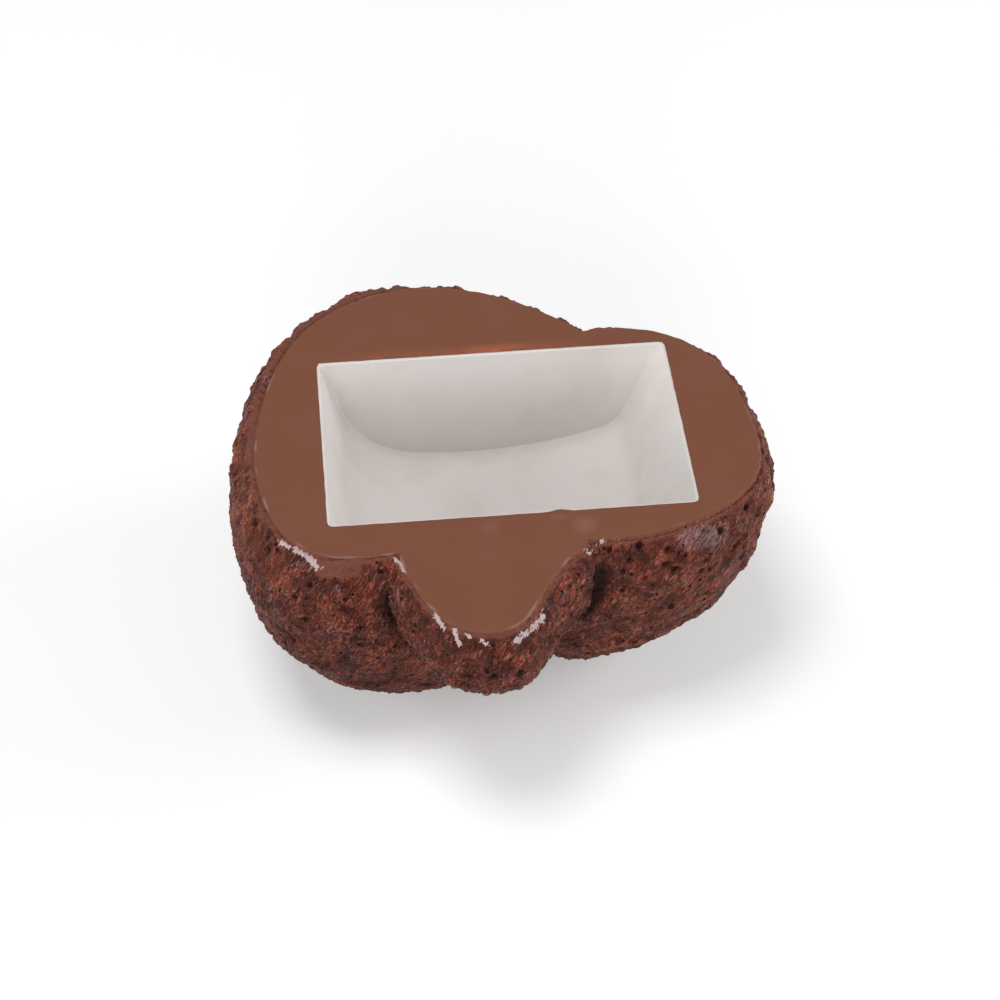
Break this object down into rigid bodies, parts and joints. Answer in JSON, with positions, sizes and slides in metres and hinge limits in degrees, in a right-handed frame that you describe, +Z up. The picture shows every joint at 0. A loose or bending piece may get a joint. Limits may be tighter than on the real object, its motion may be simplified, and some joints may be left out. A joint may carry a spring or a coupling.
{
  "type": "novelty key hider",
  "caption": "Cast resin key hider shaped like a dog dropping, lying on its crown with the open key compartment in its flat underside turned up.",
  "frame": {"origin": "under the middle of the outline, on the ground that the crown lies on", "axes": "+X along the long side of the key compartment, +Y towards its back wall, +Z up, out of the compartment"},
  "size_m": [0.1032, 0.1058, 0.0475],
  "materials": {
    "gritty_resin": "rough, pitted",
    "satin_cover": "smooth, even",
    "white_liner": "satin",
    "rust_sealant": "uneven bead"
  },
  "bodies": {
    "root": {"cast_body": "gritty_resin", "base_cover": "satin_cover", "key_tray": "white_liner", "tray_sealant": "rust_sealant"}
  },
  "joints": []
}
